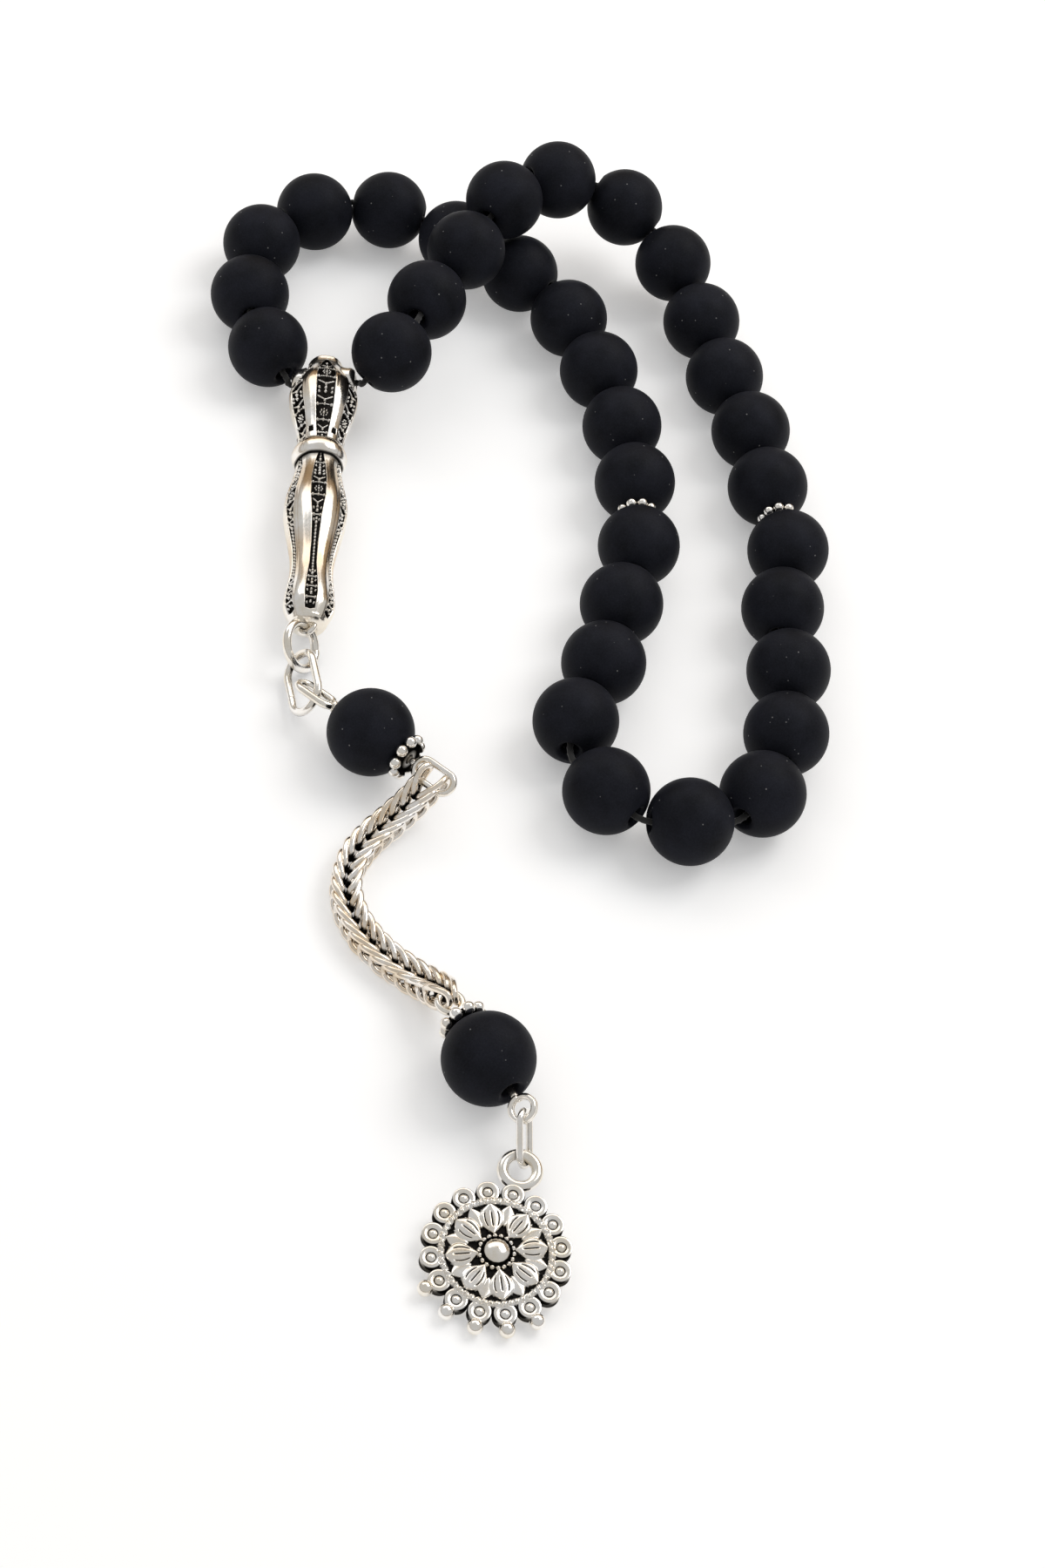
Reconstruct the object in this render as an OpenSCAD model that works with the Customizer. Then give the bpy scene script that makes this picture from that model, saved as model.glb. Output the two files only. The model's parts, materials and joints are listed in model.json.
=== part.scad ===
// Misbaha: a loop of stone beads on a cord, with a cast leader bead and a tail.
// The string lies on a flat surface at z = 0. Lengths are in millimetres.

/* [Beads] */
// Diameter of every stone bead
bead_d = 10; // [8:0.5:12]
// Diameter of the hole through a bead
bead_bore_d = 2.1; // [2:0.1:2.3]
// Depth of the countersink at each end of a bead's hole
bead_sink = 0.6; // [0.5:0.1:0.7]
// Beads on the loop
bead_count = 33; // [33]
// Beads in one run between spacers
bead_run = 11; // [11]
// Gap between neighbouring beads that touch
bead_gap = 0.05; // [0.05:0.05:0.3]
// Gap between the leader's side holes and the beads beside them
mouth_gap = 1.1; // [1.1:0.1:1.4]

/* [Cord] */
// Diameter of the twisted cord
cord_d = 0.8; // [0.6:0.1:1]
// Spare cord on the loop beyond its row of beads
cord_slack = 3; // [2.8:0.2:6]
// Diameter of the knot that holds both ends of the cord
knot_d = 2.6; // [2:0.1:3]

/* [Loop spacers] */
// Diameter of a spacer's balls
spacer_ball_d = 1.3; // [1:0.1:1.5]
// Radius of the circle that the balls stand on
spacer_ring_r = 1.95; // [1.8:0.05:2.2]
// Diameter of the hole through a spacer
spacer_bore_d = 2.3; // [2.2:0.1:2.4]
// Thickness of the web between the balls
spacer_web = 0.7; // [0.5:0.1:0.9]
// Balls round a spacer
spacer_balls = 9; // [8, 9]
// Gap between a spacer and the beads that it seats on
spacer_gap = 0.1; // [0.05:0.05:0.3]

/* [Leader] */
// Length of the leader's casting
leader_len = 45.2; // [42:0.2:50]
// Radius of the head at its widest
head_r = 4.3; // [3.8:0.1:5]
// Distance of the widest place of the head from its tip
head_at = 6.5; // [6:0.1:8]
// Radius of the necks on both sides of the collar
neck_r = 2.8; // [2.4:0.1:3.2]
// Distance of the collar from the tip
collar_at = 16.9; // [15:0.1:19]
// Width of the collar
collar_w = 2.4; // [2:0.1:3]
// Height of the collar above the neck
collar_h = 0.65; // [0.4:0.05:1]
// Radius of the belly
belly_r = 3.9; // [3.4:0.1:4.2]
// Distance of the belly from the tip
belly_at = 26.1; // [24:0.1:28]
// Radius of the waist
waist_r = 2.6; // [2.2:0.1:3]
// Distance of the waist from the tip
waist_at = 35.7; // [33:0.1:37]
// Radius of the foot at its widest
foot_r = 3.1; // [2.8:0.1:3.6]
// Distance of the foot's widest place from the tip
foot_at = 41.2; // [39:0.1:42]
// Radius of the foot's end
foot_end_r = 1.9; // [1.6:0.1:2.4]
// Distance of the cord's hole from the tip
side_hole_at = 3.5; // [3:0.1:4.5]
// Diameter of the hole across the head for the cord
side_hole_d = 1.6; // [1.2:0.1:2]
// Reach of the collars round that hole, from the leader's axis
side_hole_reach = 4; // [3.8:0.1:4.6]
// Outside diameter of those collars
side_collar_d = 2.9; // [2.6:0.1:3.4]
// Diameter of the chamber in the head that takes the knot
chamber_d = 3.2; // [2.8:0.1:3.6]
// Thickness of the flat eye at the foot's end
foot_eye_t = 1.4; // [1.2:0.1:1.6]
// Length of that eye
foot_eye_len = 2.2; // [2:0.1:2.6]
// Diameter of the hole through the eye for its ring
foot_hole_d = 1.6; // [1.4:0.1:1.7]
// Distance of that hole from the foot's end
foot_hole_inset = 1; // [0.9:0.1:1.3]

/* [Rings] */
// Wire of the two jump rings under the leader
ring_wire = 0.9; // [0.7:0.05:1]
// Radius of the first ring, at the middle of its wire
foot_ring_r = 2.7; // [2.4:0.1:3.2]
// Length of the second ring, an oval one, at the middle of its wire
link_ring_len = 8.2; // [7.6:0.1:8.8]
// Width of the second ring, at the middle of its wire
link_ring_w = 4.4; // [4:0.1:4.6]
// Slit where a jump ring is closed
ring_slit = 0.15; // [0.1:0.05:0.3]
// Gap between a ring and the ring that it hangs in
link_gap = 0.2; // [0.15:0.05:0.3]

/* [Eye pins] */
// Wire of the eye pins
pin_wire = 0.8; // [0.6:0.05:0.9]
// Length of the long eye above the upper tail bead, at the middle of its wire
long_eye_len = 5; // [4.4:0.1:6]
// Length of the eye that carries the chain, at the middle of its wire
chain_eye_len = 5.2; // [5:0.1:5.8]
// Width of both these eyes, at the middle of their wire
long_eye_w = 2.4; // [2.3:0.1:3]
// Radius of the round eyes, at the middle of their wire
eye_r = 1.3; // [1.2:0.05:1.6]
// Gap between a bead or spacer and the eye beside it
eye_gap = 0.3; // [0.2:0.05:0.5]

/* [Tail spacers] */
// Diameter of a tail spacer's balls
cap_ball_d = 1.4; // [1.2:0.1:1.6]
// Radius of the circle that the balls stand on
cap_ring_r = 2.2; // [2.1:0.05:2.5]
// Diameter of the hole through a tail spacer
cap_bore_d = 1.1; // [1:0.05:1.4]

/* [Chain] */
// Links in the chain
chain_links = 22; // [22]
// Links in one stretch that turns as a piece
chain_group = 2; // [2]
// Distance from one link to the next
chain_pitch = 1.75; // [1.7:0.05:1.9]
// Wire of a link
chain_wire = 0.6; // [0.5:0.02:0.62]
// Radius of a link's two loops, at the middle of the wire
chain_loop_r = 1.2; // [1.15:0.05:1.3]
// Slant of the loops to the chain's run
chain_slant = 38; // [34:1:39]

/* [Charm] */
// Radius of the charm's ring, at the middle of its wire
charm_ring_r = 1.8; // [1.6:0.1:2.2]
// Wire of the charm's ring
charm_ring_wire = 1; // [0.8:0.05:1.2]
// Radius of the medallion to the middle of its scallops
medal_r = 6.5; // [6:0.1:7]
// Thickness of the medallion's plate
medal_t = 1.1; // [0.9:0.1:1.4]
// Height of the relief above the plate
relief_h = 0.5; // [0.3:0.1:0.7]
// Scallops round the edge
scallops = 16; // [16]
// Diameter of a scallop
scallop_d = 2.5; // [2.4:0.05:2.9]
// Petals of the rosette
petals = 8; // [6, 8, 10]
// Diameter of the boss in the middle
boss_d = 3.2; // [2.6:0.1:3.6]
// Diameter of the drops on the lower edge
drop_d = 1.7; // [1.4:0.1:2]
// Length of the oval ring that carries the charm, at the middle of its wire
oval_len = 5.6; // [5:0.1:6.5]
// Width of the oval ring, at the middle of its wire
oval_w = 2.5; // [2.4:0.1:3]
// Wire of the oval ring
oval_wire = 0.75; // [0.6:0.05:0.8]

/* [Hidden] */
$fn = 48;
slack_steps = 12;
wire_sides = 8;
bead_r = bead_d / 2;

// Where the cord's hole crosses the leader's axis, in plan, and the leader's bearing.
leader_hole_xy = [-25.3, 38.4];
leader_bearing = -79.5;
// The leader is rolled on its axis until the right hand side hole looks up.
leader_roll = 12;

// Route of the loop, bead by bead: x, y, and the lift of a bead above the surface.
// It leaves the leader's left hole, runs clockwise, crosses over itself and comes back.
loop_route = [
  [-33, 41, 0], [-38, 50.5, 0], [-39, 61, 0], [-34, 69.5, 0], [-25, 73.5, 0],
  [-15, 71, 0], [-6, 67.5, 0], [2, 61, 0], [7.5, 52.5, 0], [12, 43.5, 0],
  [15.5, 33, 0], [17.5, 23, 0], [17, 12.5, 0], [16.5, 2.5, 0], [15, -7.5, 0],
  [20.5, -16.5, 0], [30.5, -17.5, 0], [37.5, -11, 0], [39, -1, 0], [38, 9, 0],
  [36, 19, 0], [35.5, 28.5, 0], [31.5, 39, 0], [28, 48.5, 0], [23.5, 57, 0],
  [19, 66, 0.5], [13.5, 74.5, 2], [5, 80, 5], [-4, 78, 8], [-10, 69.5, 9],
  [-13, 59.5, 7], [-16, 50, 5.5], [-18.5, 40, 4]
];
// Gaps where the cord shows: the bead before the gap, and the gap's extra length.
loose_gaps = [[2, 0.2], [9, 0.2], [12, 0.3], [15, 0.5]];

// Route of the chain from the upper eye pin: x, y, and height above the lying chain.
chain_route = [
  [-1.5, -2.5, 1.8], [-3.5, -5, 0.5], [-5.5, -8.5, 0], [-6, -12, 0], [-5.5, -15, 0],
  [-4, -18, 0], [-1, -21, 0], [2.5, -23, 0], [5.5, -24.5, 0.8], [7.5, -26.8, 3]
];

// Where the upper pin hangs: round the second ring's far end, and inside the long eye.
hook_turn = 50;
hook_inset = 2.5;
// The eye at the leader's foot is rolled, and its ring drops from the leader's axis.
// Then come the bearing, slope and roll of each tail piece as it lies.
foot_hole_roll = -52;
foot_ring_drop = 15;
link_ring_lie = [-68, 3, 55];
pin_1_bearing = -29;
pin_1_roll = 35;
pin_2_bearing = -49;
pin_2_roll = 40;
oval_bearing = -72;
oval_roll = -55;
charm_bearing = -93;
charm_slope = -6;

// Vectors, and the places that follow from the sizes.
function unit(v) = v / norm(v);
function toward(bearing, slope = 0) =
  [cos(bearing) * cos(slope), sin(bearing) * cos(slope), sin(slope)];
function bearing_of(v) = atan2(v.y, v.x);
function slope_of(v) = asin(v.z / norm(v));
function side_of(v) = unit(cross([0, 0, 1], v));
function up_of(v) = cross(unit(v), side_of(v));
function roll_of(v, across) = atan2(across * up_of(v), across * side_of(v));
function sum(v, i = 0) = i >= len(v) ? 0 : v[i] + sum(v, i + 1);

// The leader lies on the belly and the head.
leader_tilt = asin((belly_r - head_r) / (belly_at - head_at));
leader_dir = toward(leader_bearing, leader_tilt);
leader_hole = [leader_hole_xy.x, leader_hole_xy.y, head_r / cos(leader_tilt)
  + (side_hole_at - head_at) * sin(leader_tilt)];
leader_tip = leader_hole - side_hole_at * leader_dir;
leader_side = side_of(leader_dir);
leader_up = up_of(leader_dir);
hole_dir = leader_side * cos(leader_roll) + leader_up * sin(leader_roll);
mouth_left = leader_hole - side_hole_reach * hole_dir;
mouth_right = leader_hole + side_hole_reach * hole_dir;

// A smooth curve through the points p, with slack_steps samples from each to the next.
function curve_at(a, b, c, d, t) = 0.5 * (2 * b + (c - a) * t
  + (2 * a - 5 * b + 4 * c - d) * t * t + (3 * b - a - 3 * c + d) * t * t * t);
function curve(p) = concat([for (i = [0 : len(p) - 2], s = [0 : slack_steps - 1])
  curve_at(p[max(i - 1, 0)], p[i], p[i + 1], p[min(i + 2, len(p) - 1)], s / slack_steps)],
  [p[len(p) - 1]]);
function length_of(p) = sum([for (i = [1 : len(p) - 1]) norm(p[i] - p[i - 1])]);

// Walking along the samples s with dividers: the next point at distance d from p.
function seek(s, p, d, k) = k >= len(s) - 2 || norm(s[k + 1] - p) >= d ? k : seek(s, p, d, k + 1);
function pace(s, p, d, k) =
  let (j = seek(s, p, d, k), a = s[j] - p, b = s[j + 1] - s[j])
  let (u = (-a * b + sqrt(max((a * b) * (a * b) - (b * b) * (a * a - d * d), 0))) / (b * b))
  [s[j] + u * b, j];
function walk(s, steps, p, k = 0, i = 0) = i >= len(steps) ? [] :
  let (q = pace(s, p, steps[i], k)) concat([q[0]], walk(s, steps, q[0], q[1], i + 1));

// Spacers seat their balls on the beads on both sides.
function seat(ball_d, ring_r, gap) = sqrt(pow(bead_r + ball_d / 2 + gap, 2) - pow(ring_r, 2));
spacer_seat = max(seat(spacer_ball_d, spacer_ring_r, spacer_gap), bead_r + spacer_web / 2 + spacer_gap);
function has_spacer(i) = i % bead_run == 0 && i < bead_count;
function loose(i) = sum([for (g = loose_gaps) g[0] == i ? g[1] : 0]);
function pitch_after(i) = has_spacer(i) ? 2 * spacer_seat : bead_d + bead_gap + loose(i);

// The row of beads, and the loop's route drawn out to the length that the row needs.
row_steps = [for (i = [0 : bead_count - 1]) i == 0 ? bead_r + mouth_gap : pitch_after(i)];
row_len = sum(row_steps) + bead_r + mouth_gap;
function laid(k) = concat([mouth_left], [for (p = loop_route)
  [leader_hole.x + k * (p.x - leader_hole.x), leader_hole.y + k * (p.y - leader_hole.y),
   bead_r + k * p.z]], [mouth_right]);
lay_scale = (row_len + cord_slack) / length_of(curve(laid(1)));
centres = walk(curve(laid(lay_scale)), row_steps, mouth_left);
stations = concat([mouth_left], centres, [mouth_right]);
function centre(i) = centres[i - 1];

// The bores turn until the cord leaves one bead where it enters the next.
ease_rounds = 8;
function chord(i) = unit(stations[i + 1] - stations[i]);
function eased_bores(b, n) = n <= 0 ? b : eased_bores([for (i = [1 : bead_count])
  let (before = 2 * chord(i - 1) - b[i - 1] - (i == 1 ? chord(0) : b[i - 2]))
  let (after = 2 * chord(i) - b[i - 1] - (i == bead_count ? chord(i) : b[i]))
  unit(b[i - 1] + (before + after) / 4)], n - 1);
bores = eased_bores([for (i = [1 : bead_count]) unit(chord(i - 1) + chord(i))], ease_rounds);
function bore_dir(i) = bores[i - 1];

// The cord runs through the middle of each bead and midway from mouth to mouth.
mouth_lead = 0.2;
function mouth(i, side) = centre(i) + side * bead_r * bore_dir(i);
cord_path = concat(
  [leader_hole - knot_d / 3 * hole_dir, mouth_left - mouth_lead * hole_dir, mouth(1, -1)],
  [for (i = [1 : bead_count], half = [0, 1]) if (half == 0 || i < bead_count)
    half == 0 ? centre(i) : (mouth(i, 1) + mouth(i + 1, -1)) / 2],
  [mouth(bead_count, 1), mouth_right + mouth_lead * hole_dir, leader_hole + knot_d / 3 * hole_dir]);

// The tail, from ring to ring. A reach is the distance from one hanging place to the next.
foot_hole = leader_tip + (leader_len - foot_hole_inset) * leader_dir;
foot_hole_dir = leader_side * cos(foot_hole_roll) + leader_up * sin(foot_hole_roll);
foot_dir = leader_dir * cos(foot_ring_drop) + cross(foot_hole_dir, leader_dir) * sin(foot_ring_drop);
foot_ring_at = foot_hole + foot_ring_r * foot_dir;
link_dir = toward(link_ring_lie[0], link_ring_lie[1]);
link_hang = foot_ring_at + (foot_ring_r - ring_wire - link_gap) * foot_dir;
link_across = side_of(link_dir) * cos(link_ring_lie[2]) + up_of(link_dir) * sin(link_ring_lie[2]);

// The upper pin's long eye hangs on the raised side of the second ring's far end.
// The pin slopes from there to the middle of a bead that lies on the surface.
pin_1_hook = link_hang + (link_ring_len - link_ring_w / 2 + link_ring_w / 2 * cos(hook_turn)) * link_dir
  + link_ring_w / 2 * sin(hook_turn) * link_across;
hook_wire = link_across * cos(hook_turn) - link_dir * sin(hook_turn);
hook_to_bead = long_eye_len - hook_inset + pin_wire / 2 + eye_gap + bead_r;
pin_1_dir = toward(pin_1_bearing, asin((bead_r - pin_1_hook.z) / hook_to_bead));
pin_1_hang = pin_1_hook - hook_inset * pin_1_dir;
long_eye_roll = roll_of(pin_1_dir, unit(cross(hook_wire, pin_1_dir)));
tail_bead_1_at = pin_1_hook + hook_to_bead * pin_1_dir;
cap_seat = seat(cap_ball_d, cap_ring_r, spacer_gap);
cap_end = cap_seat + cap_ball_d / 2;
eye_base = cap_end + eye_gap + pin_wire / 2;
plain_eye_base = bead_r + eye_gap + pin_wire / 2;
// The chain's first link hangs on the near limb of the eye beyond the bead.
chain_start = tail_bead_1_at + (eye_base + chain_eye_len / 2) * pin_1_dir
  - long_eye_w / 2 * (side_of(pin_1_dir) * cos(pin_1_roll) + up_of(pin_1_dir) * sin(pin_1_roll));

// The chain, drawn out to the length of its links.
chain_h = chain_loop_r + chain_wire / 2;
function chain_laid(k) = concat([chain_start],
  [for (p = chain_route) [chain_start.x + k * p.x, chain_start.y + k * p.y, chain_h + p.z]]);
chain_steps = [for (i = [2 : chain_links]) chain_pitch];
chain_scale = sum(chain_steps) / length_of(curve(chain_laid(1)));
chain_curve = curve(chain_laid(chain_scale));
chain_tail = chain_curve[len(chain_curve) - 1]
  + 2 * chain_pitch * unit(chain_curve[len(chain_curve) - 1] - chain_curve[len(chain_curve) - 3]);
chain_at = concat([chain_start], walk(concat(chain_curve, [chain_tail]), chain_steps, chain_start));
chain_last = len(chain_at) - 1;
function chain_dir(i) = unit(chain_at[min(i + 1, chain_last)] - chain_at[max(i - 1, 0)]);

// The lower pin's eye runs through the chain's last link, and slopes to its bead on the surface.
pin_2_hang = chain_at[chain_last] - pin_wire / 8 * chain_dir(chain_last);
hang_to_bead = 2 * eye_r + eye_base;
pin_2_dir = toward(pin_2_bearing, asin((bead_r - pin_2_hang.z) / hang_to_bead));
tail_bead_2_at = pin_2_hang + hang_to_bead * pin_2_dir;
oval_hang = tail_bead_2_at
  + (plain_eye_base + 2 * eye_r - (pin_wire + oval_wire) / 2 - link_gap) * pin_2_dir;

// The charm leans on the drops of its lower edge, with its ring lifted by the oval ring.
charm_dir = toward(charm_bearing, charm_slope);
scallop_reach = medal_r + scallop_d / 2;
medal_at = charm_ring_r + charm_ring_wire / 4 + scallop_reach;
drop_reach = medal_at + scallop_reach + drop_d / 4;
charm_lift = drop_d / 2 * (1 - cos(charm_slope)) - drop_reach * charm_dir.z;
charm_hang_z = charm_lift + charm_ring_wire / 2 * cos(charm_slope) - charm_ring_r * charm_dir.z;
oval_reach = oval_len - (oval_wire + charm_ring_wire) / 2 - link_gap;
oval_dir = toward(oval_bearing, -asin((oval_hang.z - charm_hang_z) / oval_reach));
charm_hang = oval_hang + oval_reach * oval_dir;
charm_plan = charm_hang + charm_ring_r * charm_dir;
charm_at = [charm_plan.x, charm_plan.y, charm_lift];

// Names of the nodes.
function numbered(name, i) = str(name, i < 10 ? "_0" : "_", i);
chain_groups = ceil(chain_links / chain_group);

// Puts a shape that lies along +X at p, along the vector d, rolled about it.
module along(p, d, roll = 0) {
  translate(p) rotate([0, -slope_of(d), bearing_of(d)]) rotate([roll, 0, 0]) children();
}

// A rod of wire along +X.
module rod(from, to, wire) {
  translate([from, 0, 0]) rotate([0, 90, 0]) cylinder(h = to - from, d = wire);
}

// A round ring of wire in the XY plane.
module wire_ring(r, wire) {
  rotate_extrude() translate([r, 0]) circle(d = wire);
}

// Cuts the slit of a jump ring across the wire at p.
module with_slit(p, wire, turn = 0) {
  difference() {
    children();
    translate(p) rotate([0, 0, turn]) cube([2 * wire, ring_slit, 2 * wire], center = true);
  }
}

// A tube of the given wire along the points p, as one closed surface.
module tube(p, wire, closed = false) {
  n = len(p);
  last = n - 1;
  dirs = [for (i = [0 : last])
    let (a = closed ? (i + last) % n : max(i - 1, 0), b = closed ? (i + 1) % n : min(i + 1, last))
    unit(unit(p[b] - p[i == b ? a : i]) + unit(p[i == a ? b : i] - p[a]))];
  rims = [for (i = [0 : last])
    let (side = side_of(dirs[i]), up = up_of(dirs[i]))
    [for (k = [0 : wire_sides - 1]) p[i] + wire / 2
      * (cos(k * 360 / wire_sides) * side + sin(k * 360 / wire_sides) * up)]];
  walls = [for (i = [0 : closed ? last : last - 1], k = [0 : wire_sides - 1])
    let (j = (i + 1) % n, m = (k + 1) % wire_sides)
    [i * wire_sides + k, j * wire_sides + k, j * wire_sides + m, i * wire_sides + m]];
  ends = closed ? [] : [[for (k = [0 : wire_sides - 1]) k],
    [for (k = [wire_sides - 1 : -1 : 0]) last * wire_sides + k]];
  polyhedron([for (r = rims, q = r) q], concat(walls, ends), convexity = 10);
}

// A long eye of wire in the XY plane, from x = 0 to x = reach at the middle of its wire.
module oval_eye(reach, width, wire) {
  bend = width / 2;
  turn_steps = 8;
  tube(concat(
    [for (i = [0 : turn_steps]) let (a = -90 + 180 * i / turn_steps)
      [reach - bend + bend * cos(a), bend * sin(a), 0]],
    [for (i = [0 : turn_steps]) let (a = 90 + 180 * i / turn_steps)
      [bend + bend * cos(a), bend * sin(a), 0]]), wire, closed = true);
}

// A bead with its hole along +X, turned from its half outline.
module bead_shape() {
  bore_r = bead_bore_d / 2;
  reach = sqrt(pow(bead_r, 2) - pow(bore_r, 2));
  rotate([0, 90, 0]) rotate_extrude($fn = 96) difference() {
    circle(d = bead_d, $fn = 96);
    translate([-bead_d, -bead_d]) square([bead_d + bore_r, 2 * bead_d]);
    for (end = [0, 1])
      mirror([0, end]) polygon([[0, reach - bead_sink], [bore_r, reach - bead_sink],
        [bore_r + 2 * bead_sink, reach + bead_sink], [0, reach + bead_sink]]);
  }
}

// A ring of balls on a thin web, with its hole along +X.
module ball_spacer(ball_d, ring_r, bore_d) {
  difference() {
    union() {
      rotate([0, 90, 0]) cylinder(h = spacer_web, r = ring_r, center = true);
      for (i = [0 : spacer_balls - 1])
        rotate([i * 360 / spacer_balls, 0, 0]) translate([0, 0, ring_r]) sphere(d = ball_d);
    }
    rotate([0, 90, 0]) cylinder(h = 4 * ball_d, d = bore_d, center = true);
  }
}

module bead(i) {
  color([0.09, 0.09, 0.1]) along(centre(i), bore_dir(i)) bead_shape();
}

module spacer(i) {
  before = centre(i * bead_run);
  after = centre(i * bead_run + 1);
  color("silver") along((before + after) / 2, after - before)
    ball_spacer(spacer_ball_d, spacer_ring_r, spacer_bore_d);
}

module cord() {
  color([0.05, 0.05, 0.05]) tube(cord_path, cord_d);
}

module cord_knot() {
  color([0.05, 0.05, 0.05]) translate(leader_hole) sphere(d = knot_d);
}

// Outline of the leader: distance from the tip and radius, eased from place to place.
ease_steps = 7;
tip_r = 2.2;
tip_len = 0.7;
function eased(a, b) = [for (i = [0 : ease_steps - 1]) let (t = i / ease_steps)
  [a[0] + (b[0] - a[0]) * t, a[1] + (b[1] - a[1]) * (1 - cos(180 * t)) / 2]];
function domed(from, to, r) = [for (i = [0 : ease_steps - 1]) let (a = 90 * i / ease_steps)
  [from + (to - from) * (1 - cos(a)), r * sin(a)]];
collar_from = collar_at - collar_w / 2;
collar_to = collar_at + collar_w / 2;
leader_outline = concat(
  domed(0, tip_len, tip_r),
  eased([tip_len, tip_r], [head_at, head_r]),
  eased([head_at, head_r], [collar_from, neck_r]),
  [for (i = [0 : ease_steps - 1]) let (a = 180 * i / ease_steps)
    [collar_at - collar_w / 2 * cos(a), neck_r + collar_h * sin(a)]],
  eased([collar_to, neck_r], [belly_at, belly_r]),
  eased([belly_at, belly_r], [waist_at, waist_r]),
  eased([waist_at, waist_r], [foot_at, foot_r]),
  eased([foot_at, foot_r], [leader_len, foot_end_r]),
  [[leader_len, foot_end_r], [leader_len, 0]]);

module leader() {
  color("silver") along(leader_tip, leader_dir) difference() {
    union() {
      rotate([0, 90, 0]) rotate_extrude() polygon([for (p = leader_outline) [p[1], p[0]]]);
      translate([side_hole_at, 0, 0]) rotate([leader_roll, 0, 0]) rotate([90, 0, 0])
        cylinder(h = 2 * side_hole_reach, d = side_collar_d, center = true);
    }
    translate([side_hole_at, 0, 0]) rotate([leader_roll, 0, 0]) rotate([90, 0, 0])
      cylinder(h = 4 * side_hole_reach, d = side_hole_d, center = true);
    translate([side_hole_at, 0, 0]) sphere(d = chamber_d);
    translate([leader_len - foot_hole_inset, 0, 0]) rotate([foot_hole_roll, 0, 0]) rotate([90, 0, 0])
      cylinder(h = 4 * foot_r, d = foot_hole_d, center = true);
    for (side = [-1, 1])
      rotate([foot_hole_roll, 0, 0])
        translate([leader_len, side * (foot_eye_t / 2 + foot_r), 0])
          cube([2 * foot_eye_len, 2 * foot_r, 4 * foot_r], center = true);
  }
}

module foot_ring() {
  turn = 110;
  color("silver") along(foot_ring_at, foot_dir, roll_of(foot_dir, foot_hole_dir))
    with_slit(foot_ring_r * toward(turn), ring_wire, turn) wire_ring(foot_ring_r, ring_wire);
}

module link_ring() {
  color("silver") along(link_hang, link_dir, link_ring_lie[2])
    with_slit([0.6 * link_ring_len, -link_ring_w / 2, 0], ring_wire, 90)
      oval_eye(link_ring_len, link_ring_w, ring_wire);
}

module tail_pin_1() {
  bead_x = norm(tail_bead_1_at - pin_1_hang);
  color("silver") along(pin_1_hang, pin_1_dir) {
    rotate([long_eye_roll, 0, 0]) oval_eye(long_eye_len, long_eye_w, pin_wire);
    rod(long_eye_len, bead_x + eye_base, pin_wire);
    translate([bead_x + eye_base, 0, 0]) rotate([pin_1_roll, 0, 0])
      oval_eye(chain_eye_len, long_eye_w, pin_wire);
  }
}

module tail_bead_1() {
  color([0.09, 0.09, 0.1]) along(tail_bead_1_at, pin_1_dir) bead_shape();
}

module tail_spacer_1() {
  color("silver") along(tail_bead_1_at + cap_seat * pin_1_dir, pin_1_dir)
    ball_spacer(cap_ball_d, cap_ring_r, cap_bore_d);
}

// A link: two round loops that stand on edge and meet in a V.
module chain_link() {
  lean = chain_loop_r * sin(chain_slant);
  for (side = [-1, 1])
    translate([0, side * lean, 0]) rotate([90, 0, -side * chain_slant])
      wire_ring(chain_loop_r, chain_wire);
}

// One stretch of the chain.
module chain(g) {
  color("silver") for (k = [1 : chain_group])
    let (i = (g - 1) * chain_group + k - 1) along(chain_at[i], chain_dir(i)) chain_link();
}

module tail_pin_2() {
  color("silver") along(pin_2_hang, pin_2_dir) {
    translate([eye_r, 0, 0]) wire_ring(eye_r, pin_wire);
    rod(2 * eye_r, hang_to_bead + plain_eye_base, pin_wire);
    translate([hang_to_bead + plain_eye_base + eye_r, 0, 0]) rotate([pin_2_roll, 0, 0])
      wire_ring(eye_r, pin_wire);
  }
}

module tail_bead_2() {
  color([0.09, 0.09, 0.1]) along(tail_bead_2_at, pin_2_dir) bead_shape();
}

module tail_spacer_2() {
  color("silver") along(tail_bead_2_at - cap_seat * pin_2_dir, pin_2_dir)
    ball_spacer(cap_ball_d, cap_ring_r, cap_bore_d);
}

module charm_ring() {
  color("silver") along(oval_hang, oval_dir, oval_roll) oval_eye(oval_len, oval_w, oval_wire);
}

// The charm: a scalloped medallion with a rosette, a ring and drops on its lower edge.
scallop_turn = 360 / scallops;
drop_count = 5;
rim_w = 0.7;
petal_w = 1.7;
module petal(from, to) {
  half = (to - from) / 2;
  r = (half * half + pow(petal_w / 2, 2)) / petal_w;
  translate([from + half, 0, 0]) intersection() {
    translate([0, r - petal_w / 2, 0]) cylinder(h = medal_t + relief_h, r = r);
    translate([0, petal_w / 2 - r, 0]) cylinder(h = medal_t + relief_h, r = r);
  }
}

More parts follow.
